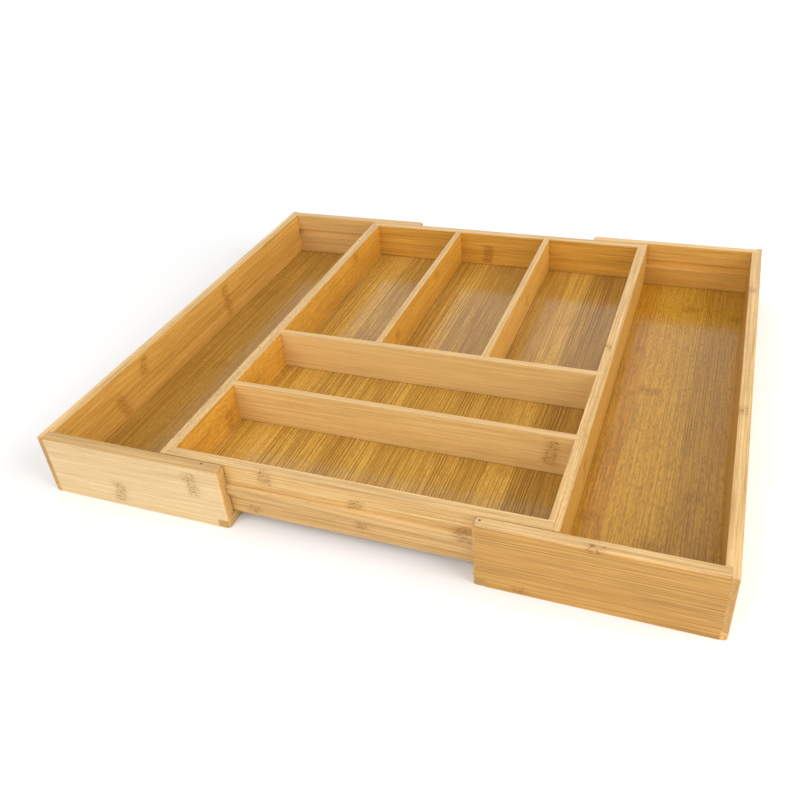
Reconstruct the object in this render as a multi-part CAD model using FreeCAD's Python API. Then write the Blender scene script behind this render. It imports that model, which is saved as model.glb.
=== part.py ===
import FreeCAD, Part
import os

# An expanding cutlery tray of bamboo boards. A centre box holds five compartments, and a
# three-walled tray at each side slides out from under it and adds one compartment.
# X runs across, Y to the back and Z up, in millimetres. The origin lies on the table under
# the middle of the box, and both side trays are modelled pulled out.

# Overall sizes
overall_depth = 440.0             # front face to rear face of the side trays
overall_height = 53.7             # table to the tops of all walls and dividers
box_width = 294.0                 # centre box, outside
tray_wall_length = 159.0          # outer face of a side tray to the free ends of its long walls

# Compartments, measured inside
side_compartment_width = 96.0     # beside the box, with the side tray pulled out
front_compartment_depth = 84.0
middle_compartment_depth = 77.5

# Boards and sticks
tray_wall = 9.0                   # thickness of the side trays' walls
box_wall = 9.0                    # thickness of the box's walls
divider = 6.4                     # thickness of the dividers
box_floor = 4.0                   # thickness of the box's floor panel
box_floor_rise = 4.5              # lower edge of the box's walls to the underside of its floor panel
tray_floor = 2.4                  # thickness of the side trays' floor panels
rail_width = 9.0                  # sticks that run front to back under the side trays' floor panels
rail_height = 7.3
runner_height = 8.0               # ribs on the box that the side trays slide on
runner_level = 28.7               # table to the lower edge of the ribs
runner_projection = 3.2           # how far the ribs stand out of the box's faces

# Clearances
slide_gap = 0.5                   # between the box's faces and the side trays' walls
under_gap = 0.9                   # between the side trays' floor panels and the box's lower edge
floor_gap = 0.4                   # between a floor panel and the boards that stand over it
groove_gap = 0.35                 # round a rib in its groove
panel_play = 0.3                  # between a floor panel's edge and the bottom of its groove

# Joints, as shares of the thickness of the board that is cut
corner_lip_share = 0.5            # what is left outside a corner rabbet
housing_share = 0.34              # depth of dados, floor grooves and runner housings

# Eased edges
outer_round = 2.4                 # outside edges and free ends of the side trays' long walls and rails
arris = 0.8                       # every other edge that a hand meets
divider_round = 1.0

# How far a cutting block runs past what it cuts, and how closely edges are matched
overrun = 2.0
match = 0.001

# Places that follow from the sizes, for the left side tray and the front of the box.
# The right and rear pieces are their mirror images.
tray_lip = tray_wall * corner_lip_share
tray_housing = tray_wall * housing_share
box_lip = box_wall * corner_lip_share
box_housing = box_wall * housing_share
divider_housing = divider * housing_share

tray_outer = -(box_width / 2 + side_compartment_width + tray_wall)
tray_inner = tray_outer + tray_wall
tray_end = tray_outer + tray_wall_length
tray_front = -overall_depth / 2
tray_front_inner = tray_front + tray_wall
tray_floor_top = rail_height + tray_floor
tray_floor_clear = tray_floor_top + floor_gap

box_left = -box_width / 2
box_left_inner = box_left + box_wall
box_front = tray_front_inner + slide_gap
box_front_inner = box_front + box_wall
box_rear_inner = -box_front_inner
box_bottom = tray_floor_top + under_gap
box_floor_under = box_bottom + box_floor_rise
box_floor_top = box_floor_under + box_floor
box_floor_clear = box_floor_top + floor_gap

runner_top = runner_level + runner_height
runner_face = box_front - runner_projection

front_divider_at = box_front_inner + front_compartment_depth
rear_divider_at = front_divider_at + divider + middle_compartment_depth
rear_divider_back = rear_divider_at + divider
long_compartment_width = (-2 * box_left_inner - 2 * divider) / 3
left_divider_at = box_left_inner + long_compartment_width


def block(low, high):
    """A square block between two opposite corners."""
    size = [high[axis] - low[axis] for axis in range(3)]
    return Part.makeBox(size[0], size[1], size[2], FreeCAD.Vector(low[0], low[1], low[2]))


def swapped(shape, x=0, y=0):
    """The mirror image of a shape, left for right with x=1 or front for rear with y=1."""
    return shape.mirror(FreeCAD.Vector(0, 0, 0), FreeCAD.Vector(x, y, 0))


def both_ends(shape):
    """A shape and its mirror image at the other end of Y."""
    return [shape, swapped(shape, y=1)]


def edges_on(shape, planes):
    """The edges whose ends lie on all the given planes, such as {"x": 10, "z": 0}."""
    def lies_on(point):
        return all(abs(getattr(point, axis) - place) < match for axis, place in planes.items())

    return [edge for edge in shape.Edges if all(lies_on(vertex.Point) for vertex in edge.Vertexes)]


def rounded(shape, radius, *edge_planes):
    """The shape with the named edges rounded."""
    edges = []
    for planes in edge_planes:
        edges.extend(edges_on(shape, planes))
    return shape.makeFillet(radius, edges)


def square_ended(board, *ends):
    """The board with the blocks added that keep its eased edges square inside a joint."""
    return board.fuse(list(ends)).removeSplitter()


def tray_corner_cuts(width):
    """Blocks that cut the corner rabbets in an outer piece of that width of the left side tray."""
    front = block(
        (tray_outer + tray_lip, tray_front - overrun, -overrun),
        (tray_outer + width + overrun, tray_front_inner, overall_height + overrun),
    )
    return both_ends(front)


def box_corner_cuts():
    """Blocks that cut the corner rabbets in the box's left wall."""
    front = block(
        (box_left + box_lip, box_front - overrun, box_bottom - overrun),
        (box_left_inner + overrun, box_front_inner, overall_height + overrun),
    )
    return both_ends(front)


def runner_housing_cut():
    """A block that cuts the housing of the front runner in the box's front face."""
    return block(
        (box_left - overrun, box_front - overrun, runner_level),
        (-box_left + overrun, box_front + box_housing, runner_top),
    )


def tray_front_wall():
    """Front wall of the left side tray: rail notch, floor groove and runner groove."""
    wall = block((tray_outer + tray_lip, tray_front, 0), (tray_end, tray_front_inner, overall_height))
    wall = rounded(
        wall,
        outer_round,
        {"y": tray_front, "z": overall_height},
        {"x": tray_end, "z": overall_height},
        {"x": tray_end, "y": tray_front},
    )
    wall = rounded(
        wall,
        arris,
        {"y": tray_front_inner, "z": overall_height},
        {"x": tray_end, "y": tray_front_inner},
    )
    corner_end = block(
        (tray_outer + tray_lip, tray_front_inner - arris, overall_height - arris),
        (tray_inner, tray_front_inner, overall_height),
    )
    wall = square_ended(wall, corner_end)
    rail_notch = block(
        (tray_end - rail_width, tray_front - overrun, -overrun),
        (tray_end + overrun, tray_front_inner + overrun, rail_height),
    )
    floor_groove = block(
        (tray_outer - overrun, tray_front_inner - tray_housing, rail_height),
        (tray_end + overrun, tray_front_inner + overrun, tray_floor_clear),
    )
    runner_groove = block(
        (tray_outer - overrun, runner_face - groove_gap, runner_level - groove_gap),
        (tray_end + overrun, tray_front_inner + overrun, runner_top + groove_gap),
    )
    return wall.cut([rail_notch, floor_groove, runner_groove])


def tray_side_wall():
    """Side wall of the left side tray: stands on the outer rail and over the floor panel's edge."""
    wall = block((tray_outer, tray_front, rail_height), (tray_inner, -tray_front, overall_height))
    wall = rounded(
        wall,
        arris,
        {"x": tray_outer, "z": overall_height},
        {"x": tray_outer, "y": tray_front},
        {"x": tray_outer, "y": -tray_front},
    )
    wall = wall.cut(tray_corner_cuts(tray_wall))
    wall = rounded(wall, arris, {"x": tray_inner, "z": overall_height})
    floor_rabbet = block(
        (tray_inner - tray_housing, tray_front - overrun, rail_height - overrun),
        (tray_inner + overrun, -tray_front + overrun, tray_floor_clear),
    )
    return wall.cut(floor_rabbet)


def tray_outer_rail():
    """Stick under the left side tray's side wall and the outer edge of its floor panel."""
    rail = block((tray_outer, tray_front, 0), (tray_outer + rail_width, -tray_front, rail_height))
    rail = rounded(rail, outer_round, {"x": tray_outer, "z": 0})
    rail = rounded(
        rail,
        arris,
        {"x": tray_outer, "y": tray_front},
        {"x": tray_outer, "y": -tray_front},
    )
    return rail.cut(tray_corner_cuts(rail_width))


def tray_inner_rail():
    """Stick under the free edge of the left side tray's floor panel, let into both long walls."""
    rail = block((tray_end - rail_width, tray_front, 0), (tray_end, -tray_front, rail_height))
    rail = rounded(
        rail,
        outer_round,
        {"x": tray_end, "y": tray_front},
        {"x": tray_end, "y": -tray_front},
    )
    return rounded(rail, arris, {"x": tray_end, "z": 0})


def tray_floor_panel():
    """Floor panel of the left side tray: rests on both rails, with three edges let into the walls."""
    edge_reach = tray_housing - panel_play
    return block(
        (tray_inner - edge_reach, tray_front_inner - edge_reach, rail_height),
        (tray_end, -tray_front_inner + edge_reach, tray_floor_top),
    )


def box_floor_cut():
    """A block that cuts the floor panel's groove in all four walls of the box."""
    return block(
        (box_left_inner - box_housing, box_front_inner - box_housing, box_floor_under),
        (-box_left_inner + box_housing, box_rear_inner + box_housing, box_floor_clear),
    )


def box_left_wall():
    """Left wall of the box: corner rabbets, floor groove, and dados for the cross dividers."""
    wall = block((box_left, box_front, box_bottom), (box_left_inner, -box_front, overall_height))
    wall = rounded(
        wall,
        arris,
        {"x": box_left, "z": overall_height},
        {"x": box_left, "y": box_front},
        {"x": box_left, "y": -box_front},
        {"y": box_front, "z": overall_height},
        {"y": -box_front, "z": overall_height},
    )
    wall = wall.cut(box_corner_cuts())
    wall = rounded(wall, arris, {"x": box_left_inner, "z": overall_height})
    dados = []
    for divider_at in (front_divider_at, rear_divider_at):
        dado = block(
            (box_left_inner - box_housing, divider_at, box_floor_clear),
            (box_left_inner + overrun, divider_at + divider, overall_height + overrun),
        )
        dados.append(dado)
    return wall.cut([box_floor_cut()] + dados + both_ends(runner_housing_cut()))


def box_front_wall():
    """Front wall of the box: fits between the side walls' lips and carries the runner outside."""
    wall = block(
        (box_left + box_lip, box_front, box_bottom),
        (-box_left - box_lip, box_front_inner, overall_height),
    )
    wall = rounded(
        wall,
        arris,
        {"y": box_front, "z": overall_height},
        {"y": box_front_inner, "z": overall_height},
    )
    corner_end = block(
        (box_left + box_lip, box_front_inner - arris, overall_height - arris),
        (box_left_inner, box_front_inner, overall_height),
    )
    wall = square_ended(wall, corner_end, swapped(corner_end, x=1))
    floor_groove = block(
        (box_left - overrun, box_front_inner - box_housing, box_floor_under),
        (-box_left + overrun, box_front_inner + overrun, box_floor_clear),
    )
    return wall.cut([floor_groove, runner_housing_cut()])


def box_rear_wall():
    """Rear wall of the box: the front wall's mirror image, with dados for the long dividers."""
    wall = swapped(box_front_wall(), y=1)
    dado = block(
        (left_divider_at, box_rear_inner - overrun, box_floor_clear),
        (left_divider_at + divider, box_rear_inner + box_housing, overall_height + overrun),
    )
    return wall.cut([dado, swapped(dado, x=1)])


def box_floor_panel():
    """Floor panel of the box, let into its four walls."""
    edge_reach = box_housing - panel_play
    return block(
        (box_left_inner - edge_reach, box_front_inner - edge_reach, box_floor_under),
        (-box_left_inner + edge_reach, box_rear_inner + edge_reach, box_floor_top),
    )


def front_runner():
    """Rib let into the outside of the box's front wall, over its whole width."""
    runner = block(
        (box_left, runner_face, runner_level),
        (-box_left, box_front + box_housing, runner_top),
    )
    return rounded(
        runner,
        arris,
        {"y": runner_face, "z": runner_level},
        {"y": runner_face, "z": runner_top},
    )


def cross_divider(at):
    """Divider from side to side, its ends let into the box's side walls."""
    board = block(
        (box_left_inner - box_housing, at, box_floor_clear),
        (-box_left_inner + box_housing, at + divider, overall_height),
    )
    board = rounded(
        board,
        divider_round,
        {"y": at, "z": overall_height},
        {"y": at + divider, "z": overall_height},
    )
    housed_end = block(
        (box_left_inner - box_housing, at, overall_height - divider_round),
        (box_left_inner, at + divider, overall_height),
    )
    return square_ended(board, housed_end, swapped(housed_end, x=1))


def rear_cross_divider():
    """Cross divider with dados in its back for the long dividers."""
    dado = block(
        (left_divider_at, rear_divider_back - divider_housing, box_floor_clear - overrun),
        (left_divider_at + divider, rear_divider_back + overrun, overall_height + overrun),
    )
    return cross_divider(rear_divider_at).cut([dado, swapped(dado, x=1)])


def left_long_divider():
    """Divider from the rear cross divider to the box's rear wall, let into both."""
    board = block(
        (left_divider_at, rear_divider_back - divider_housing, box_floor_clear),
        (left_divider_at + divider, box_rear_inner + box_housing, overall_height),
    )
    board = rounded(
        board,
        divider_round,
        {"x": left_divider_at, "z": overall_height},
        {"x": left_divider_at + divider, "z": overall_height},
    )
    front_end = block(
        (left_divider_at, rear_divider_back - divider_housing, overall_height - divider_round),
        (left_divider_at + divider, rear_divider_back, overall_height),
    )
    rear_end = block(
        (left_divider_at, box_rear_inner, overall_height - divider_round),
        (left_divider_at + divider, box_rear_inner + box_housing, overall_height),
    )
    return square_ended(board, front_end, rear_end)


def all_pieces():
    """Every piece of the tray under its own name."""
    pieces = {
        "box_front_wall": box_front_wall(),
        "box_rear_wall": box_rear_wall(),
        "box_left_wall": box_left_wall(),
        "box_right_wall": swapped(box_left_wall(), x=1),
        "box_floor_panel": box_floor_panel(),
        "front_cross_divider": cross_divider(front_divider_at),
        "rear_cross_divider": rear_cross_divider(),
        "left_long_divider": left_long_divider(),
        "right_long_divider": swapped(left_long_divider(), x=1),
        "front_runner": front_runner(),
        "rear_runner": swapped(front_runner(), y=1),
    }
    left_tray = {
        "front_wall": tray_front_wall(),
        "rear_wall": swapped(tray_front_wall(), y=1),
        "side_wall": tray_side_wall(),
        "floor_panel": tray_floor_panel(),
        "inner_rail": tray_inner_rail(),
        "outer_rail": tray_outer_rail(),
    }
    for name, shape in left_tray.items():
        pieces["left_tray_" + name] = shape
        pieces["right_tray_" + name] = swapped(shape, x=1)
    return pieces


os.makedirs("parts", exist_ok=True)
for node, shape in all_pieces().items():
    shape.exportStep("parts/" + node + ".step")
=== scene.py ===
from dataclasses import dataclass
from math import radians
from typing import NamedTuple

import bmesh
import bpy
from bpy.props import FloatProperty, FloatVectorProperty, PointerProperty
from mathutils import Euler, Matrix, Vector


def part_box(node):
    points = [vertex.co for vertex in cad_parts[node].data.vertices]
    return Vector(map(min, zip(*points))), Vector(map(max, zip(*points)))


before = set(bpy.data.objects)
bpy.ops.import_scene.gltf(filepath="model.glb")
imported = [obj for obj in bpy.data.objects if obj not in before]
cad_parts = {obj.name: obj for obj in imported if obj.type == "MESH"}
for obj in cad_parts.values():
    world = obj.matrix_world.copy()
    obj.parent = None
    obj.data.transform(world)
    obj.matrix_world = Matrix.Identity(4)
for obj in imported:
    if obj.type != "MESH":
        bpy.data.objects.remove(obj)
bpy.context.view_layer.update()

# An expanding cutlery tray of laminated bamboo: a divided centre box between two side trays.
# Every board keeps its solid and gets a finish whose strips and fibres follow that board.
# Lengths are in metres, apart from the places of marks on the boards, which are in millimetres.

bl_info = {
    "name": "Expanding Cutlery Tray",
    "version": (1, 0, 0),
    "blender": (4, 5, 0),
    "location": "3D View > Sidebar > Cutlery Tray",
    "description": "Bamboo finishes and a studio for an expanding cutlery tray",
    "category": "Object",
}

MM = 0.001


def colour(name, description, default):
    """A colour that a user can change, in linear light."""
    return FloatVectorProperty(
        name=name, description=description, default=default, subtype="COLOR", size=3, min=0.0, max=1.0
    )


def length(name, description, default):
    """A length that a user can change."""
    return FloatProperty(
        name=name, description=description, default=default, unit="LENGTH", min=0.0, precision=5
    )


def angle(name, description, degrees):
    """An angle that a user can change."""
    return FloatProperty(name=name, description=description, default=radians(degrees), subtype="ANGLE")


def amount(name, description, default, most=1.0):
    """A plain amount that a user can change."""
    return FloatProperty(name=name, description=description, default=default, min=0.0, max=most)


def power(name, description, default):
    """The power of a light, which a user can change."""
    return FloatProperty(name=name, description=description, default=default, unit="POWER", min=0.0)


class BambooColours(bpy.types.PropertyGroup):
    """Ground colours of the boards, before strips and fibres vary them"""

    cream: colour("Cream", "Front wall and outer rail of the left tray", (0.69, 0.495, 0.243))
    straw: colour("Straw", "Box front, runners, inner rails and the left tray's rear", (0.635, 0.395, 0.138))
    wheat: colour("Wheat", "Cross dividers", (0.80, 0.53, 0.20))
    golden: colour("Golden", "Most boards at the right, and the left tray's side wall", (0.615, 0.338, 0.070))
    honey: colour("Honey", "Left wall and left long divider of the box", (0.69, 0.34, 0.042))
    amber: colour("Amber", "Rear wall of the box", (0.62, 0.317, 0.046))
    floor: colour("Floor", "Floor panels of the box and the left tray", (0.55, 0.310, 0.054))
    warm_floor: colour("Warm floor", "Floor panel of the right tray", (0.52, 0.274, 0.023))
    edge: colour("Edge", "Sanded edges of all boards", (0.705, 0.460, 0.190))
    end_tint: colour("End tint", "What a cut end keeps of the edge colour", (0.92, 0.81, 0.60))


class BambooGrain(bpy.types.PropertyGroup):
    """Sizes of the strips, fibres and knuckles of the bamboo, and its lacquer"""

    wall_strip: length("Wall strip", "Width of the strips that walls are glued from", 0.021)
    floor_strip: length("Floor strip", "Width of the strips that floor panels are glued from", 0.0216)
    wall_unevenness: amount("Wall unevenness", "How much the widths of wall strips differ", 0.5)
    floor_unevenness: amount("Floor unevenness", "How much the widths of floor strips differ", 0.1)
    layer: length("Layer", "Thickness of one layer of strips", 0.0031)
    knuckle_length: length("Knuckle length", "Length of a knuckle along the fibres", 0.013)
    pore_size: length("Pore size", "Width of a dark pore", 0.0021)
    relief: length("Relief", "Height of the fibres under the lacquer", 0.00005)
    wall_roughness: amount("Wall lacquer", "Roughness of the satin lacquer on walls", 0.40)
    floor_roughness: amount("Floor lacquer", "Roughness of the glossier lacquer on floor panels", 0.18)


class Studio(bpy.types.PropertyGroup):
    """Camera, floor and light"""

    camera_place: FloatVectorProperty(
        name="Camera place", description="Where the camera stands", default=(0.21235, -0.58575, 0.42244),
        subtype="TRANSLATION", size=3, unit="LENGTH",
    )
    camera_turn: angle("Camera turn", "How far it looks to the left of straight back", 23.6954)
    camera_tilt: angle("Camera tilt", "How far it looks down", 34.9536)
    camera_roll: angle("Camera roll", "How far it leans to the right", 5.2388)
    camera_lens: FloatProperty(
        name="Camera lens", description="Focal length on a sensor 36 mm wide, in millimetres",
        default=37.74, min=1.0,
    )
    floor_size: length("Floor size", "Width of the studio floor", 14.0)
    floor_colour: colour("Floor colour", "Pale studio floor", (0.93, 0.93, 0.93))
    floor_glow: amount("Floor glow", "Own light of the far floor, which keeps it white", 0.38)
    sky: amount("Sky", "Strength of the white surroundings", 0.68, most=10.0)
    key_power: power("Key light", "Large soft light at the front", 19.5)
    fill_power: power("Fill light", "Large soft light at the right", 33.0)
    back_power: power("Back light", "Large soft light behind, which shows in the lacquer", 4.3)


class Knuckle(NamedTuple):
    """Where a knuckle lies and how large it is, in millimetres."""

    x: float
    y: float
    z: float
    height: float            # its size across the fibres
    depth: float = 1.0       # how dark it is


@dataclass
class Board:
    """How one board is finished."""

    colour: str              # ground colour of its broad faces
    run: str                 # which way its fibres run
    tone: float = 1.0        # brightness of its broad faces
    strips: float = 0.30     # contrast between its glued strips
    streaks: float = 1.0     # contrast of its broad streaks
    fibres: float = 1.9      # contrast of its fine fibres
    lines: float = 0.15      # how dark its long thin lines are
    spread: float = 0.0      # how much its lines differ from strip to strip
    flecks: float = 0.12     # how dark its short flecks are
    edge: float = 1.0        # brightness of its edges
    end: float = 1.0         # brightness of its cut ends
    shift: float = 0.0       # how far its pattern is moved across the fibres
    red_strip: tuple = ()    # x of the two borders of a redder strip, in millimetres
    knuckles: tuple = ()     # its knuckles
    pores: tuple = ()        # places of its dark pores, in millimetres


# Turns that bring each board's fibres to X, its width to Y and its thickness to Z
RUNS = {
    "across": (-90.0, 0.0, 0.0),
    "back": (-90.0, -90.0, 0.0),
    "panel": (0.0, 0.0, -90.0),
}

BOX_WALLS = {
    "box_front_wall": Board(
        "straw", "across", tone=0.99, streaks=0.9, lines=0.5, edge=0.94, shift=0.006,
        knuckles=(
            Knuckle(-61, -210, 48, height=13),
            Knuckle(9, -210, 41, height=10),
            Knuckle(11, -210, 22, height=8),
            Knuckle(86, -210, 39, height=5),
            Knuckle(-76, -210, 16, height=8),
        ),
    ),
    "box_rear_wall": Board(
        "amber", "across", tone=1.06,
        knuckles=(Knuckle(-14, 202, 31, height=22, depth=1.4), Knuckle(96, 210, 40, height=18)),
    ),
    "box_left_wall": Board(
        "honey", "back", flecks=0.4,
        knuckles=(Knuckle(-139, -133, 28, height=20), Knuckle(-139, 133, 47, height=12)),
    ),
    "box_right_wall": Board(
        "golden", "back", tone=1.08, lines=0.25, flecks=0.25, edge=1.08,
        knuckles=(Knuckle(140, 9, 53, height=6), Knuckle(146, -120, 32, height=20)),
    ),
}
DIVIDERS = {
    "front_cross_divider": Board(
        "wheat", "across", tone=1.03, strips=0.18, streaks=0.4, fibres=1.3,
        knuckles=(Knuckle(123, -117, 38, height=28),),
    ),
    "rear_cross_divider": Board(
        "wheat", "across", strips=0.18, streaks=0.35, fibres=1.1,
        knuckles=(Knuckle(-90, -27, 36, height=20),),
    ),
    "left_long_divider": Board(
        "honey", "back", flecks=0.3,
        knuckles=(Knuckle(-44, 120, 45, height=9), Knuckle(-44, 9, 40, height=10)),
    ),
    "right_long_divider": Board(
        "golden", "back", tone=1.29,
        knuckles=(Knuckle(50, 106, 34, height=12),),
    ),
}
RUNNERS = {
    "front_runner": Board(
        "straw", "across", tone=0.94, streaks=1.4, lines=0.4,
        knuckles=(Knuckle(86, -213, 33, height=9),),
    ),
    "rear_runner": Board("straw", "across", streaks=1.4, lines=0.3),
}
TRAY_WALLS = {
    "left_tray_front_wall": Board(
        "cream", "across", tone=0.98, strips=0.36, streaks=0.6, fibres=1.4, edge=0.95,
        knuckles=(Knuckle(-116, -220, 37, height=24), Knuckle(-187, -220, 14, height=22)),
        pores=((-109, -213.5, 53.7),),
    ),
    "left_tray_rear_wall": Board(
        "straw", "across", tone=1.10, streaks=0.6, fibres=1.2,
        knuckles=(Knuckle(-190, 220, 34, height=22),),
    ),
    "left_tray_side_wall": Board(
        "golden", "back", tone=1.21, strips=0.5, flecks=0.2, edge=1.13, end=0.62,
        knuckles=(
            Knuckle(-243, 45, 32, height=40),
            Knuckle(-243, -96, 42, height=18),
            Knuckle(-243, -133, 24, height=26),
        ),
    ),
    "right_tray_front_wall": Board(
        "golden", "across", strips=0.15, streaks=0.8, fibres=2.4, lines=0.8, edge=0.92,
        knuckles=(Knuckle(168, -219, 52, height=5), Knuckle(124, -220, 4, height=6)),
        pores=((97, -214.4, 53.7),),
    ),
    "right_tray_rear_wall": Board(
        "golden", "across", tone=1.08, fibres=1.4,
        knuckles=(Knuckle(150, 220, 22, height=18),),
        pores=((223.6, 211, 29.5),),
    ),
    "right_tray_side_wall": Board(
        "golden", "back", edge=1.04, end=0.75,
        knuckles=(
            Knuckle(246, 131, 53, height=8),
            Knuckle(246, -55, 53, height=8),
            Knuckle(252, 40, 30, height=22),
        ),
    ),
}
RAILS = {
    "left_tray_inner_rail": Board("straw", "back", edge=0.85, end=0.85),
    "left_tray_outer_rail": Board("cream", "back"),
    "right_tray_inner_rail": Board("straw", "back", edge=0.85, end=0.85),
    "right_tray_outer_rail": Board("golden", "back"),
}
FLOORS = {
    "box_floor_panel": Board(
        "floor", "panel", tone=1.06, strips=0.85, streaks=0.3, fibres=2.6, lines=1.25, spread=1.5,
        flecks=0.35, shift=-0.769,
        knuckles=(Knuckle(88, 96, 19, height=19, depth=0.4), Knuckle(89, -122, 19, height=18, depth=0.5)),
    ),
    "left_tray_floor_panel": Board(
        "floor", "panel", tone=1.02, strips=0.7, streaks=0.3, fibres=2.0, lines=1.0, spread=1.0,
        flecks=0.4, shift=0.121,
        knuckles=(Knuckle(-229, 107, 9, height=18, depth=0.6), Knuckle(-208, -32, 9, height=18, depth=0.6)),
    ),
    "right_tray_floor_panel": Board(
        "warm_floor", "panel", tone=1.0, strips=0.6, streaks=0.3, fibres=2.2, lines=0.5, spread=1.0,
        flecks=0.45, shift=4.042, red_strip=(144.4, 165.5),
        knuckles=(
            Knuckle(197, 167, 9, height=18, depth=0.8),
            Knuckle(237, 155, 9, height=14, depth=0.8),
            Knuckle(159, 82, 9, height=14, depth=0.5),
            Knuckle(176, 20, 9, height=20, depth=0.9),
            Knuckle(221, -106, 9, height=20, depth=0.6),
            Knuckle(156, -147, 9, height=16, depth=0.5),
            Knuckle(199, -163, 9, height=20, depth=0.6),
        ),
    ),
}
ALL_BOARDS = {**BOX_WALLS, **DIVIDERS, **RUNNERS, **TRAY_WALLS, **RAILS, **FLOORS}

# What the colour of a board is multiplied by where a mark lies on it
DARK_TINT = (0.66, 0.58, 0.42)
PALE_TINT = (1.22, 1.25, 1.34)
RED_TINT = (1.05, 0.965, 0.74)
LINE_TINT = (0.42, 0.33, 0.24)
KNUCKLE_TINT = (0.46, 0.33, 0.19)
# Painted shade: rounded corners are darkened where they turn towards the lights
ROUND_PAINTED_SHADE = (0.84, 0.77, 0.66)
# Grooves painted paler: partly fresh-cut wood, partly painted light that offsets the shade inside them
GROOVE_FRESH_AND_LIGHT_TINT = (1.12, 1.14, 1.18)
PORE_TINT = (0.10, 0.07, 0.05)

# Noise, as grains to the metre along the fibres, across them and through the board
STREAK_GRAIN = (7.0, 330.0, 330.0)
FIBRE_GRAIN = (16.0, 1000.0, 1000.0)
FLECK_GRAIN = (230.0, 900.0, 900.0)
LINE_BOW_GRAIN = (3.0, 25.0, 25.0)
LINE_GAP_GRAIN = (9.0, 420.0, 420.0)
KNUCKLE_BEND_GRAIN = (12.0, 90.0, 90.0)
DASH_WAVER_GRAIN = (150.0, 300.0, 300.0)
DASH_GAP_GRAIN = (260.0, 500.0, 500.0)

# Glued strips
PATTERN_STEP = Vector((0.37, 0.113, 0.041))   # from the pattern of one board to that of the next
STRIP_SHARE = 0.6                     # part that the strip has in the tone of the wood
LAYER_SHARE = 0.4                     # part that the layer has in it
GLUE_FADE = (0.05 * MM, 0.28 * MM)    # how far from a strip's border its glue line fades and ends
GLUE_DARKNESS = 0.30

# Long thin lines and short flecks
LINE_PITCH = 2.3 * MM                 # between one line and the next
LINE_BOW = 2.5                        # how many pitches a line wanders
LINE_UNEVENNESS = 0.9                 # how much the pitches differ
LINE_FADE = (0.07, 0.23)              # how far from its middle a line fades, and is gone, in pitches
LINE_KEPT = (0.34, 0.56)              # noise at which a line appears, and is full
FLECK_KEPT = (0.46, 0.66)             # noise at which a fleck appears, and is full

# Knuckles
KNUCKLE_SIDES = (0.70, 1.05)          # where a knuckle fades across the fibres, in half sizes
KNUCKLE_BACK = (0.8, 1.0)             # where it fades into the board
DASH_ENDS = (0.5, 1.0)                # where its dashes fade along the fibres
HALO_ENDS = (0.2, 1.6)                # where the faint band around them fades
HALO_DARKNESS = 0.26
KNUCKLE_SWAY = 16 * MM                # how far a knuckle wanders along the fibres
KNUCKLE_REACH = 4 * MM                # how far it reaches into the board
DASH_LEAN = 0.6                       # how far a row of dashes moves sideways on its way along the fibres
DASH_PHASE = 2600.0                   # radians to the metre, so that the rows lie 2.4 mm apart
DASH_WAVER = 9.0                      # most radians by which a row wavers
DASH_EDGE = (-0.1, 0.6)               # height of the wave at which a dash appears, and is full
DASH_KEPT = (0.38, 0.54)              # noise at which a dash appears, and is full

# Pores, grooves, edges, rounded corners and cut ends
PORE_CORE = 0.6                       # share of a pore that is fully dark
SKIN_FADE = (0.9 * MM, 1.6 * MM)      # depth at which a board's skin gives way to a groove
END_FACING = (0.6, 0.85)              # how squarely a cut end looks along the fibres
EDGE_FACING = (0.35, 0.75)            # how squarely an edge looks across the board
# Where the painted shade lies on a rounded corner
ROUND_STARTS = (0.15, 0.45)           # how far a rounded corner leans from the broad face
ROUND_STOPS = (0.80, 0.97)            # how far it leans where it gives way to the edge
EDGE_LINES = 0.4                      # what an edge shows of the long thin lines
END_BUNDLES = 950.0                   # fibre bundles to the metre, which show as dots on a cut end
DOT_FADE = (0.25, 0.45)               # how far from its middle a dot fades, and is gone, in bundles
DOT_DARKNESS = 0.22
END_DULLNESS = 0.2                    # what a cut end adds to the roughness
FIBRE_DULLNESS = 0.10                 # what the fibres add to it
MARK_SINK = 0.6                       # how deep the marks lie, in heights of the fibres

# Studio
FLOOR_ROUGHNESS = 0.9                 # of its floor, which has no shine
GLOW_REACH = (0.35, 1.8)              # how far from the middle of its floor the glow starts, and is full
SENSOR_WIDTH = 36.0                   # of the camera, in millimetres
CLIP_START = 0.01                     # nearest distance that the camera sees
LIGHTS = {                            # place and width of each soft light, and the setting with its power
    "key_light": ((-0.4, -1.7, 1.2), 1.6, "key_power"),
    "fill_light": ((1.8, -0.3, 1.1), 1.6, "fill_power"),
    "back_light": ((-0.6, 2.2, 1.2), 2.0, "back_power"),
}


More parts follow.
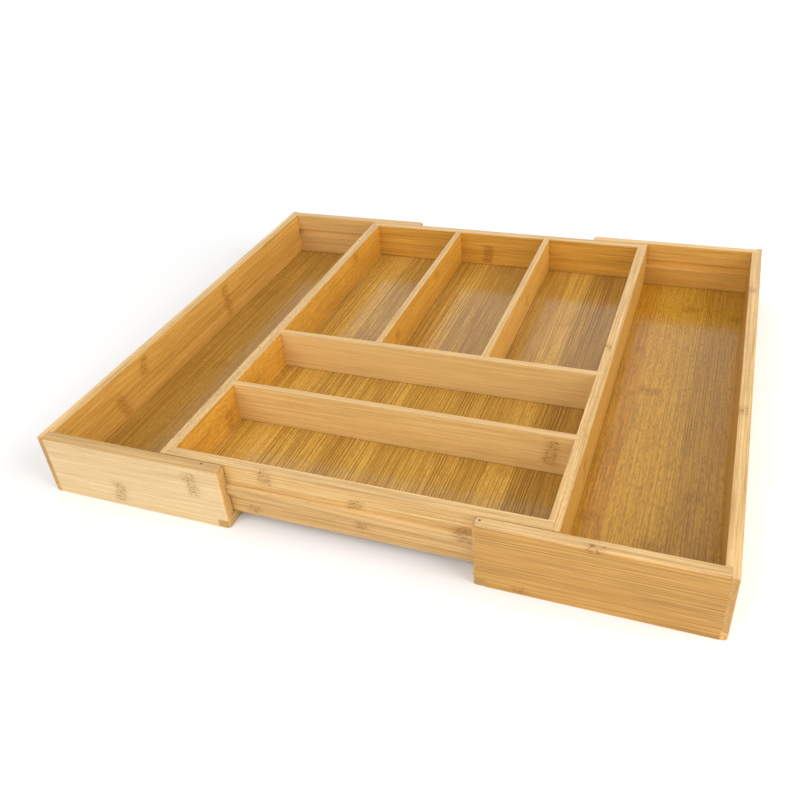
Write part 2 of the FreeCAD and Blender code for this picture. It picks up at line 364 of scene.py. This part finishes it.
class Wiring:
    """Adds nodes to a node tree and joins them."""

    def __init__(self, tree):
        self.tree = tree

    def add(self, kind, inputs=None, **settings):
        """A node with its settings made and its inputs fed."""
        node = self.tree.nodes.new("ShaderNode" + kind)
        for name, value in settings.items():
            setattr(node, name, value)
        for name, value in (inputs or {}).items():
            self.feed(node.inputs[name], value)
        return node

    def feed(self, socket, value):
        """Joins a socket to another one, or sets its own value."""
        if isinstance(value, bpy.types.NodeSocket):
            self.tree.links.new(value, socket)
        else:
            socket.default_value = value

    def effect(self, group, inputs):
        """A shared effect placed in this tree, as its output sockets."""
        return self.add("Group", inputs, node_tree=group).outputs

    def math(self, operation, *values):
        """The result of an operation on numbers."""
        node = self.add("Math", operation=operation)
        for socket, value in zip(node.inputs, values):
            self.feed(socket, value)
        return node.outputs["Value"]

    def vector(self, operation, *values):
        """The result of an operation on vectors."""
        node = self.add("VectorMath", operation=operation)
        for socket, value in zip(node.inputs, values):
            self.feed(socket, value)
        return node.outputs["Vector"]

    def centred(self, value):
        """A value that runs from 0 to 1, moved to lie around 0."""
        return self.math("SUBTRACT", value, 0.5)

    def distance(self, vector):
        """The length of a vector."""
        return self.add("VectorMath", {0: vector}, operation="LENGTH").outputs["Value"]

    def parts(self, vector):
        """The X, Y and Z of a vector."""
        return self.add("SeparateXYZ", {"Vector": vector}).outputs

    def ramp(self, value, low, high, start=0.0, end=1.0):
        """A smooth step from start to end as a value goes from low to high."""
        limits = {"Value": value, "From Min": low, "From Max": high, "To Min": start, "To Max": end}
        return self.add("MapRange", limits, interpolation_type="SMOOTHSTEP").outputs["Result"]

    def noise(self, place, stretch, detail=2.0, roughness=0.5):
        """Noise from 0 to 1, with so many grains to the metre on each axis."""
        scaled = self.vector("MULTIPLY", place, stretch)
        inputs = {"Vector": scaled, "Scale": 1.0, "Detail": detail, "Roughness": roughness}
        return self.add("TexNoise", inputs).outputs["Fac"]

    def mix(self, share, below, above, blend="MIX"):
        """One colour laid over another."""
        node = self.add("Mix", data_type="RGBA", blend_type=blend)
        # A Mix node has sockets of the same names for each kind of data: these are the ones for colours
        factor, first, second, result = node.inputs[0], node.inputs[6], node.inputs[7], node.outputs[2]
        self.feed(factor, share)
        for socket, value in ((first, below), (second, above)):
            self.feed(socket, value if isinstance(value, bpy.types.NodeSocket) else (*value, 1.0))
        return result

    def tint(self, ground, factors):
        """A colour multiplied by another one."""
        return self.mix(1.0, ground, factors, "MULTIPLY")


SOCKETS = {"number": "NodeSocketFloat", "vector": "NodeSocketVector", "colour": "NodeSocketColor"}


def new_effect(name, inputs, outputs):
    """A shared shader effect: its group, its wiring, its entry sockets and its exit sockets."""
    group = bpy.data.node_groups.new(name, "ShaderNodeTree")
    for label, kind in inputs.items():
        group.interface.new_socket(label, in_out="INPUT", socket_type=SOCKETS[kind])
    for label, kind in outputs.items():
        group.interface.new_socket(label, in_out="OUTPUT", socket_type=SOCKETS[kind])
    entry = group.nodes.new("NodeGroupInput")
    leave = group.nodes.new("NodeGroupOutput")
    return group, Wiring(group), entry.outputs, leave.inputs


def strips_effect():
    """Glued strips: each has its own tone and share of lines, and a thin glue line at its border."""
    group, wiring, entry, leave = new_effect(
        "Glued strips",
        {"Place": "vector", "Strip Width": "number", "Layer": "number", "Unevenness": "number"},
        {"Tone": "number", "Drift": "number", "Lining": "number", "Glue Line": "number"},
    )
    place = wiring.parts(entry["Place"])
    chances = []
    gaps = []
    for side, size in (("Y", "Strip Width"), ("Z", "Layer")):
        counted = wiring.math("DIVIDE", place[side], entry[size])
        cell = {"W": counted, "Scale": 1.0, "Randomness": entry["Unevenness"]}
        strip = wiring.add("TexVoronoi", cell, voronoi_dimensions="1D")
        border = wiring.add("TexVoronoi", cell, voronoi_dimensions="1D", feature="DISTANCE_TO_EDGE")
        chances.append(wiring.add("SeparateColor", {"Color": strip.outputs["Color"]}).outputs)
        gaps.append(wiring.math("MULTIPLY", border.outputs["Distance"], entry[size]))
    of_strip, of_layer = chances
    tone = wiring.math("MULTIPLY", of_strip["Red"], STRIP_SHARE)
    wiring.feed(leave["Tone"], wiring.math("MULTIPLY_ADD", of_layer["Red"], LAYER_SHARE, tone))
    wiring.feed(leave["Drift"], wiring.math("ADD", of_strip["Red"], of_layer["Red"]))
    wiring.feed(leave["Lining"], of_strip["Green"])
    wiring.feed(leave["Glue Line"], wiring.ramp(wiring.math("MINIMUM", *gaps), *GLUE_FADE, 1.0, 0.0))
    return group


def fibres_effect():
    """Fibres along the grain: broad streaks, fine fibres, long thin lines and short flecks."""
    group, wiring, entry, leave = new_effect(
        "Bamboo fibres",
        {"Place": "vector", "Drift": "number"},
        {"Streak": "number", "Fibre": "number", "Line": "number", "Fleck": "number"},
    )
    slide = wiring.add("CombineXYZ", {"X": entry["Drift"], "Y": entry["Drift"]}).outputs["Vector"]
    place = wiring.vector("ADD", entry["Place"], slide)
    wiring.feed(leave["Streak"], wiring.noise(place, STREAK_GRAIN, detail=3.0, roughness=0.6))
    wiring.feed(leave["Fibre"], wiring.noise(place, FIBRE_GRAIN, detail=2.0, roughness=0.7))
    side = wiring.parts(place)
    rows = wiring.math("DIVIDE", wiring.math("ADD", side["Y"], side["Z"]), LINE_PITCH)
    bowed = wiring.noise(place, LINE_BOW_GRAIN, detail=1.0)
    rows = wiring.math("MULTIPLY_ADD", bowed, LINE_BOW, rows)
    row = {"W": rows, "Scale": 1.0, "Randomness": LINE_UNEVENNESS}
    seam = wiring.add("TexVoronoi", row, voronoi_dimensions="1D", feature="DISTANCE_TO_EDGE")
    thin = wiring.ramp(seam.outputs["Distance"], *LINE_FADE, 1.0, 0.0)
    kept = wiring.ramp(wiring.noise(place, LINE_GAP_GRAIN, detail=1.0), *LINE_KEPT)
    wiring.feed(leave["Line"], wiring.math("MULTIPLY", thin, kept))
    wiring.feed(leave["Fleck"], wiring.ramp(wiring.noise(place, FLECK_GRAIN, detail=1.0), *FLECK_KEPT))
    return group


def knuckle_effect():
    """One knuckle of the cane: rows of short slanting dashes across a strip, in a faint band."""
    group, wiring, entry, leave = new_effect(
        "Bamboo knuckle",
        {"Place": "vector", "Centre": "vector", "Half Size": "vector", "Depth": "number", "Others": "number"},
        {"Mask": "number"},
    )
    bend = wiring.noise(entry["Place"], KNUCKLE_BEND_GRAIN, detail=2.0)
    along = wiring.math("MULTIPLY_ADD", bend, KNUCKLE_SWAY, -KNUCKLE_SWAY / 2)
    sway = wiring.add("CombineXYZ", {"X": along}).outputs["Vector"]
    offset = wiring.vector("ADD", wiring.vector("SUBTRACT", entry["Place"], entry["Centre"]), sway)
    spread = wiring.vector("ABSOLUTE", offset)
    share = wiring.parts(wiring.vector("DIVIDE", spread, entry["Half Size"]))
    within = wiring.math(
        "MULTIPLY",
        wiring.ramp(share["Y"], *KNUCKLE_SIDES, 1.0, 0.0),
        wiring.ramp(share["Z"], *KNUCKLE_BACK, 1.0, 0.0),
    )
    slant = wiring.math("MULTIPLY_ADD", wiring.parts(spread)["X"], DASH_LEAN, wiring.parts(offset)["Y"])
    waver = wiring.math("MULTIPLY", wiring.noise(entry["Place"], DASH_WAVER_GRAIN, detail=1.0), DASH_WAVER)
    wave = wiring.math("SINE", wiring.math("MULTIPLY_ADD", slant, DASH_PHASE, waver))
    kept = wiring.ramp(wiring.noise(entry["Place"], DASH_GAP_GRAIN, detail=1.0), *DASH_KEPT)
    dashes = wiring.math("MULTIPLY", wiring.ramp(wave, *DASH_EDGE), kept)
    dashes = wiring.math("MULTIPLY", dashes, wiring.ramp(share["X"], *DASH_ENDS, 1.0, 0.0))
    halo = wiring.ramp(share["X"], *HALO_ENDS, HALO_DARKNESS, 0.0)
    mask = wiring.math("MULTIPLY", wiring.math("MAXIMUM", dashes, halo), within)
    mask = wiring.math("MULTIPLY", mask, entry["Depth"])
    wiring.feed(leave["Mask"], wiring.math("MAXIMUM", mask, entry["Others"]))
    return group


def pore_effect():
    """One dark pore."""
    group, wiring, entry, leave = new_effect(
        "Bamboo pore",
        {"Place": "vector", "Centre": "vector", "Width": "number", "Others": "number"},
        {"Mask": "number"},
    )
    far = wiring.distance(wiring.vector("SUBTRACT", entry["Place"], entry["Centre"]))
    rim = wiring.math("MULTIPLY", entry["Width"], 0.5)
    mask = wiring.ramp(far, wiring.math("MULTIPLY", rim, PORE_CORE), rim, 1.0, 0.0)
    wiring.feed(leave["Mask"], wiring.math("MAXIMUM", mask, entry["Others"]))
    return group


def skin_effect():
    """A board's outer skin, as against the grooves cut into it."""
    group, wiring, entry, leave = new_effect(
        "Board skin",
        {"Place": "vector", "Low Corner": "vector", "High Corner": "vector"},
        {"Skin": "number"},
    )
    below = wiring.vector("SUBTRACT", entry["Place"], entry["Low Corner"])
    above = wiring.vector("SUBTRACT", entry["High Corner"], entry["Place"])
    depth = wiring.parts(wiring.vector("MINIMUM", below, above))
    least = wiring.math("MINIMUM", wiring.math("MINIMUM", depth["X"], depth["Y"]), depth["Z"])
    wiring.feed(leave["Skin"], wiring.ramp(least, *SKIN_FADE, 1.0, 0.0))
    return group


def bamboo_effect():
    """The whole bamboo surface, with its colour, roughness and relief."""
    group, wiring, entry, leave = new_effect(
        "Bamboo board",
        {
            "Place": "vector", "Facing": "vector", "Shift": "vector",
            "Face Colour": "colour", "Edge Colour": "colour", "End Colour": "colour",
            "Strip Width": "number", "Layer": "number", "Unevenness": "number",
            "Strips": "number", "Redness": "number", "Streaks": "number", "Fibres": "number",
            "Lines": "number", "Line Spread": "number", "Flecks": "number", "Lacquer": "number",
            "Knuckles": "number", "Pores": "number", "Skin": "number",
        },
        {"Colour": "colour", "Roughness": "number", "Height": "number"},
    )
    place = wiring.vector("ADD", entry["Place"], entry["Shift"])
    strip = wiring.effect(
        shared_effect("Glued strips"),
        {
            "Place": place, "Strip Width": entry["Strip Width"], "Layer": entry["Layer"],
            "Unevenness": entry["Unevenness"],
        },
    )
    fibre = wiring.effect(shared_effect("Bamboo fibres"), {"Place": place, "Drift": strip["Drift"]})

    # Ground colour of broad faces, edges and cut ends, with painted shade on rounded corners, which turn
    # towards the lights
    facing = wiring.parts(wiring.vector("ABSOLUTE", entry["Facing"]))
    on_end = wiring.ramp(facing["X"], *END_FACING)
    off_end = wiring.math("SUBTRACT", 1.0, on_end)
    on_edge = wiring.math("MULTIPLY", wiring.ramp(facing["Y"], *EDGE_FACING), entry["Skin"])
    # Share of a rounded corner that gets painted shade, between the broad face and the edge
    painted_round_shade = wiring.math(
        "MULTIPLY", wiring.ramp(facing["Y"], *ROUND_STARTS), wiring.ramp(facing["Y"], *ROUND_STOPS, 1.0, 0.0)
    )
    ground = wiring.mix(on_edge, entry["Face Colour"], entry["Edge Colour"])
    ground = wiring.mix(on_end, ground, entry["End Colour"])
    ground = wiring.mix(painted_round_shade, ground, wiring.tint(ground, ROUND_PAINTED_SHADE))

    # Strips, which show twice as strongly on an edge, with streaks, fibres and a redder strip
    toned = wiring.math("MULTIPLY", wiring.centred(strip["Tone"]), entry["Strips"])
    toned = wiring.math("MULTIPLY", toned, wiring.math("ADD", on_edge, 1.0))
    streaked = wiring.math("MULTIPLY", wiring.centred(fibre["Streak"]), entry["Streaks"])
    fine = wiring.centred(fibre["Fibre"])
    streaked = wiring.math("MULTIPLY_ADD", fine, entry["Fibres"], streaked)
    shade = wiring.math("ADD", wiring.math("ADD", toned, streaked), 0.5)
    shade = wiring.math("MINIMUM", wiring.math("MAXIMUM", shade, 0.0), 1.0)
    wood = wiring.mix(shade, wiring.tint(ground, DARK_TINT), wiring.tint(ground, PALE_TINT))
    wood = wiring.mix(entry["Redness"], wood, wiring.tint(wood, RED_TINT))

    # Lines, flecks, glue lines and the dots of cut fibres
    on_face = wiring.math("MULTIPLY_ADD", on_edge, EDGE_LINES - 1.0, 1.0)
    lined = wiring.math("MULTIPLY_ADD", wiring.centred(strip["Lining"]), entry["Line Spread"], 1.0)
    lines = wiring.math("MULTIPLY", wiring.math("MULTIPLY", fibre["Line"], entry["Lines"]), lined)
    lines = wiring.math("MULTIPLY", lines, on_face)
    flecks = wiring.math("MULTIPLY", fibre["Fleck"], entry["Flecks"])
    glue = wiring.math("MULTIPLY", strip["Glue Line"], GLUE_DARKNESS)
    furrows = wiring.math("MAXIMUM", wiring.math("MAXIMUM", lines, flecks), glue)
    furrows = wiring.math("MULTIPLY", furrows, off_end)
    bundle = wiring.add("TexVoronoi", {"Vector": place, "Scale": END_BUNDLES}).outputs["Distance"]
    dots = wiring.math("MULTIPLY", wiring.ramp(bundle, *DOT_FADE, DOT_DARKNESS, 0.0), on_end)
    wood = wiring.mix(wiring.math("ADD", furrows, dots), wood, wiring.tint(ground, LINE_TINT))

    # Knuckles, pores, and grooves painted paler: partly fresh-cut wood, partly painted light against the
    # shade inside them
    wood = wiring.mix(entry["Knuckles"], wood, wiring.tint(ground, KNUCKLE_TINT))
    wood = wiring.mix(entry["Skin"], wiring.tint(wood, GROOVE_FRESH_AND_LIGHT_TINT), wood)
    wood = wiring.mix(entry["Pores"], wood, wiring.tint(ground, PORE_TINT))
    wiring.feed(leave["Colour"], wood)

    dull = wiring.math("MULTIPLY_ADD", on_end, END_DULLNESS, entry["Lacquer"])
    wiring.feed(leave["Roughness"], wiring.math("MULTIPLY_ADD", fine, FIBRE_DULLNESS, dull))
    sunk = wiring.math("MAXIMUM", wiring.math("MAXIMUM", furrows, entry["Knuckles"]), entry["Pores"])
    wiring.feed(leave["Height"], wiring.math("MULTIPLY_ADD", sunk, -MARK_SINK, fibre["Fibre"]))
    return group


EFFECTS = {
    "Glued strips": strips_effect,
    "Bamboo fibres": fibres_effect,
    "Bamboo knuckle": knuckle_effect,
    "Bamboo pore": pore_effect,
    "Board skin": skin_effect,
    "Bamboo board": bamboo_effect,
}


def shared_effect(name):
    """A shared effect by name, built on its first use."""
    if name not in bpy.data.node_groups:
        EFFECTS[name]()
    return bpy.data.node_groups[name]


def bamboo_material(scene, node):
    """The finish of one board: bamboo with its fibres along the board, and its own marks."""
    board = ALL_BOARDS[node]
    colours = scene.tray_colours
    grain = scene.tray_grain
    number = list(ALL_BOARDS).index(node)
    on_floor = board.run == "panel"
    turn = Euler([radians(step) for step in RUNS[board.run]])
    shift = PATTERN_STEP * number + Vector((0.0, board.shift, 0.0))
    face = Vector(getattr(colours, board.colour)) * board.tone
    edge = Vector(colours.edge) * board.edge
    end = edge * Vector(colours.end_tint) * board.end

    material = bpy.data.materials.new("bamboo_" + node)
    material.use_nodes = True
    wiring = Wiring(material.node_tree)
    shader = material.node_tree.nodes["Principled BSDF"]
    source = wiring.add("TexCoord").outputs
    place = wiring.add("Mapping", {"Vector": source["Object"], "Rotation": turn}).outputs["Vector"]
    facing = wiring.add(
        "Mapping", {"Vector": source["Normal"], "Rotation": turn}, vector_type="VECTOR"
    ).outputs["Vector"]

    low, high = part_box(node)
    skin = wiring.effect(
        shared_effect("Board skin"), {"Place": source["Object"], "Low Corner": low, "High Corner": high}
    )["Skin"]
    redness = 0.0
    if board.red_strip:
        first, last = (border * MM for border in board.red_strip)
        across = wiring.parts(source["Object"])["X"]
        redness = wiring.math("COMPARE", across, (first + last) / 2, (last - first) / 2)
    knuckles = 0.0
    for mark in board.knuckles:
        centre = Vector((mark.x, mark.y, mark.z)) * MM
        centre.rotate(turn)
        half_size = (grain.knuckle_length / 2, mark.height * MM / 2, KNUCKLE_REACH)
        knuckles = wiring.effect(
            shared_effect("Bamboo knuckle"),
            {
                "Place": place, "Centre": centre, "Half Size": half_size, "Depth": mark.depth,
                "Others": knuckles,
            },
        )["Mask"]
    pores = 0.0
    for pore in board.pores:
        pores = wiring.effect(
            shared_effect("Bamboo pore"),
            {
                "Place": source["Object"], "Centre": Vector(pore) * MM, "Width": grain.pore_size,
                "Others": pores,
            },
        )["Mask"]
    surface = wiring.effect(
        shared_effect("Bamboo board"),
        {
            "Place": place, "Facing": facing, "Shift": shift,
            "Face Colour": (*face, 1.0), "Edge Colour": (*edge, 1.0), "End Colour": (*end, 1.0),
            "Strip Width": grain.floor_strip if on_floor else grain.wall_strip, "Layer": grain.layer,
            "Unevenness": grain.floor_unevenness if on_floor else grain.wall_unevenness,
            "Strips": board.strips, "Redness": redness,
            "Streaks": board.streaks, "Fibres": board.fibres,
            "Lines": board.lines, "Line Spread": board.spread, "Flecks": board.flecks,
            "Lacquer": grain.floor_roughness if on_floor else grain.wall_roughness,
            "Knuckles": knuckles, "Pores": pores, "Skin": skin,
        },
    )
    relief = wiring.add("Bump", {"Height": surface["Height"], "Strength": 1.0, "Distance": grain.relief})
    wiring.feed(shader.inputs["Base Color"], surface["Colour"])
    wiring.feed(shader.inputs["Roughness"], surface["Roughness"])
    wiring.feed(shader.inputs["Normal"], relief.outputs["Normal"])
    return material


def finish_boards(scene, boards):
    """Gives each board its own finish in place of the plain one."""
    for node in boards:
        material = bamboo_material(scene, node)
        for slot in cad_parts[node].material_slots:
            slot.material = material


class TRAY_OT_finish_box_walls(bpy.types.Operator):
    """Give the four walls of the centre box their bamboo finish"""

    bl_idname = "cutlery_tray.finish_box_walls"
    bl_label = "Finish Box Walls"

    def execute(self, context):
        finish_boards(context.scene, BOX_WALLS)
        return {"FINISHED"}


class TRAY_OT_finish_dividers(bpy.types.Operator):
    """Give the dividers of the centre box their bamboo finish"""

    bl_idname = "cutlery_tray.finish_dividers"
    bl_label = "Finish Dividers"

    def execute(self, context):
        finish_boards(context.scene, DIVIDERS)
        return {"FINISHED"}


class TRAY_OT_finish_runners(bpy.types.Operator):
    """Give the ribs that the side trays slide on their bamboo finish"""

    bl_idname = "cutlery_tray.finish_runners"
    bl_label = "Finish Runners"

    def execute(self, context):
        finish_boards(context.scene, RUNNERS)
        return {"FINISHED"}


class TRAY_OT_finish_tray_walls(bpy.types.Operator):
    """Give the walls of both side trays their bamboo finish"""

    bl_idname = "cutlery_tray.finish_tray_walls"
    bl_label = "Finish Side Tray Walls"

    def execute(self, context):
        finish_boards(context.scene, TRAY_WALLS)
        return {"FINISHED"}


class TRAY_OT_finish_rails(bpy.types.Operator):
    """Give the sticks under the side trays their bamboo finish"""

    bl_idname = "cutlery_tray.finish_rails"
    bl_label = "Finish Rails"

    def execute(self, context):
        finish_boards(context.scene, RAILS)
        return {"FINISHED"}


class TRAY_OT_finish_floors(bpy.types.Operator):
    """Give the three floor panels their glossier bamboo finish"""

    bl_idname = "cutlery_tray.finish_floors"
    bl_label = "Finish Floor Panels"

    def execute(self, context):
        finish_boards(context.scene, FLOORS)
        return {"FINISHED"}


def studio_floor(studio):
    """A wide pale floor under the tray, which glows far from it."""
    mesh = bpy.data.meshes.new("studio_floor")
    shape = bmesh.new()
    bmesh.ops.create_grid(shape, x_segments=1, y_segments=1, size=studio.floor_size / 2)
    shape.to_mesh(mesh)
    shape.free()
    floor = bpy.data.objects.new("studio_floor", mesh)
    bpy.context.scene.collection.objects.link(floor)
    material = bpy.data.materials.new("studio_floor")
    material.use_nodes = True
    shader = material.node_tree.nodes["Principled BSDF"]
    shader.inputs["Base Color"].default_value = (*studio.floor_colour, 1.0)
    shader.inputs["Roughness"].default_value = FLOOR_ROUGHNESS
    shader.inputs["Specular IOR Level"].default_value = 0.0
    wiring = Wiring(material.node_tree)
    far = wiring.distance(wiring.add("TexCoord").outputs["Object"])
    wiring.feed(shader.inputs["Emission Color"], wiring.ramp(far, *GLOW_REACH, 0.0, studio.floor_glow))
    shader.inputs["Emission Strength"].default_value = 1.0
    mesh.materials.append(material)


def soft_light(name, place, size, watts):
    """A square soft light that shines on the tray."""
    light = bpy.data.lights.new(name, "AREA")
    light.energy = watts
    light.size = size
    lamp = bpy.data.objects.new(name, light)
    lamp.location = place
    lamp.rotation_euler = (-Vector(place)).to_track_quat("-Z", "Y").to_euler()
    bpy.context.scene.collection.objects.link(lamp)


def white_surroundings(studio):
    """Even light from all sides, which the camera itself sees as plain white."""
    world = bpy.data.worlds.new("white_studio")
    world.use_nodes = True
    wiring = Wiring(world.node_tree)
    background = world.node_tree.nodes["Background"]
    background.inputs["Color"].default_value = (1.0, 1.0, 1.0, 1.0)
    seen = wiring.add("LightPath").outputs["Is Camera Ray"]
    strength = wiring.math("MULTIPLY_ADD", seen, 1.0 - studio.sky, studio.sky)
    wiring.feed(background.inputs["Strength"], strength)
    return world


def studio_camera(studio):
    """A camera at the viewing angle of the photograph."""
    camera = bpy.data.objects.new("camera", bpy.data.cameras.new("camera"))
    camera.data.sensor_width = SENSOR_WIDTH
    camera.data.lens = studio.camera_lens
    camera.data.clip_start = CLIP_START
    # A camera looks straight down before it is turned
    camera.matrix_world = (
        Matrix.Translation(studio.camera_place)
        @ Matrix.Rotation(studio.camera_turn, 4, "Z")
        @ Matrix.Rotation(radians(90.0) - studio.camera_tilt, 4, "X")
        @ Matrix.Rotation(-studio.camera_roll, 4, "Z")
    )
    bpy.context.scene.collection.objects.link(camera)
    bpy.context.scene.camera = camera


class TRAY_OT_build_studio(bpy.types.Operator):
    """Build the floor, the lights and the camera"""

    bl_idname = "cutlery_tray.build_studio"
    bl_label = "Build Studio"

    def execute(self, context):
        studio = context.scene.tray_studio
        studio_floor(studio)
        for name, (place, size, setting) in LIGHTS.items():
            soft_light(name, place, size, getattr(studio, setting))
        context.scene.world = white_surroundings(studio)
        context.scene.view_settings.view_transform = "Standard"
        studio_camera(studio)
        return {"FINISHED"}


STEPS = (
    TRAY_OT_finish_box_walls,
    TRAY_OT_finish_dividers,
    TRAY_OT_finish_runners,
    TRAY_OT_finish_tray_walls,
    TRAY_OT_finish_rails,
    TRAY_OT_finish_floors,
    TRAY_OT_build_studio,
)


class TRAY_PT_cutlery_tray(bpy.types.Panel):
    """Steps that finish the cutlery tray, and their settings"""

    bl_label = "Cutlery Tray"
    bl_idname = "TRAY_PT_cutlery_tray"
    bl_space_type = "VIEW_3D"
    bl_region_type = "UI"
    bl_category = "Cutlery Tray"

    def draw(self, context):
        for settings in (context.scene.tray_colours, context.scene.tray_grain, context.scene.tray_studio):
            column = self.layout.column(align=True)
            for name in settings.__annotations__:
                column.prop(settings, name)
        for step in STEPS:
            self.layout.operator(step.bl_idname)


CLASSES = (BambooColours, BambooGrain, Studio, *STEPS, TRAY_PT_cutlery_tray)


def register():
    """Makes the settings and the steps known."""
    for entry in CLASSES:
        bpy.utils.register_class(entry)
    bpy.types.Scene.tray_colours = PointerProperty(type=BambooColours)
    bpy.types.Scene.tray_grain = PointerProperty(type=BambooGrain)
    bpy.types.Scene.tray_studio = PointerProperty(type=Studio)


def unregister():
    """Takes the settings and the steps away again."""
    del bpy.types.Scene.tray_studio
    del bpy.types.Scene.tray_grain
    del bpy.types.Scene.tray_colours
    for entry in reversed(CLASSES):
        bpy.utils.unregister_class(entry)


def main():
    """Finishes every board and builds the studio."""
    register()
    tray = bpy.ops.cutlery_tray
    tray.finish_box_walls()
    tray.finish_dividers()
    tray.finish_runners()
    tray.finish_tray_walls()
    tray.finish_rails()
    tray.finish_floors()
    tray.build_studio()


if __name__ == "__main__":
    main()
